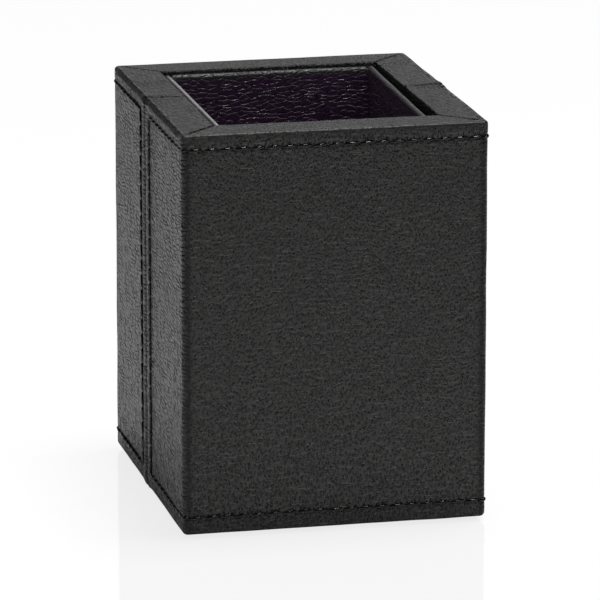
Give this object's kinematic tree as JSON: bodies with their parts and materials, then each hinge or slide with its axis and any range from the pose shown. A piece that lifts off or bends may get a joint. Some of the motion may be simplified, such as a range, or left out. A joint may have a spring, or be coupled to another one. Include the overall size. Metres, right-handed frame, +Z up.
{
  "type": "pencil cup",
  "caption": "Open-topped, nearly square pencil cup with thick walls, covered in stitched black faux leather and lined inside, standing flat on a felt pad.",
  "frame": {"origin": "middle of the felt pad's underside, on the surface that the cup stands on", "axes": "+Z up through the open mouth, +X across the front to the right, -Y towards the front face"},
  "size_m": [0.0808, 0.0908, 0.106],
  "materials": {
    "cover_leather": "black faux leather, fine pebble grain, satin",
    "lining_leather": "black faux leather with a faint purple cast, creased grain, satin",
    "thread": "twisted black polyester thread",
    "grey_card": "uncoated grey card",
    "fibreboard": "raw medium-density fibreboard",
    "steel_wire": "bright drawn steel",
    "felt": "black needled felt"
  },
  "bodies": {
    "root": {"front_cover": "cover_leather", "back_cover": "cover_leather", "front_stitching": "thread", "back_stitching": "thread", "front_lining": "lining_leather", "back_lining": "lining_leather", "left_lining": "lining_leather", "right_lining": "lining_leather", "floor_lining": "lining_leather", "front_card": "grey_card", "back_card": "grey_card", "left_card": "grey_card", "right_card": "grey_card", "floor_card": "grey_card", "front_board": "fibreboard", "back_board": "fibreboard", "left_board": "fibreboard", "right_board": "fibreboard", "base_board": "fibreboard", "corner_brads": "steel_wire", "base_brads": "steel_wire", "base_pad": "felt"}
  },
  "joints": []
}
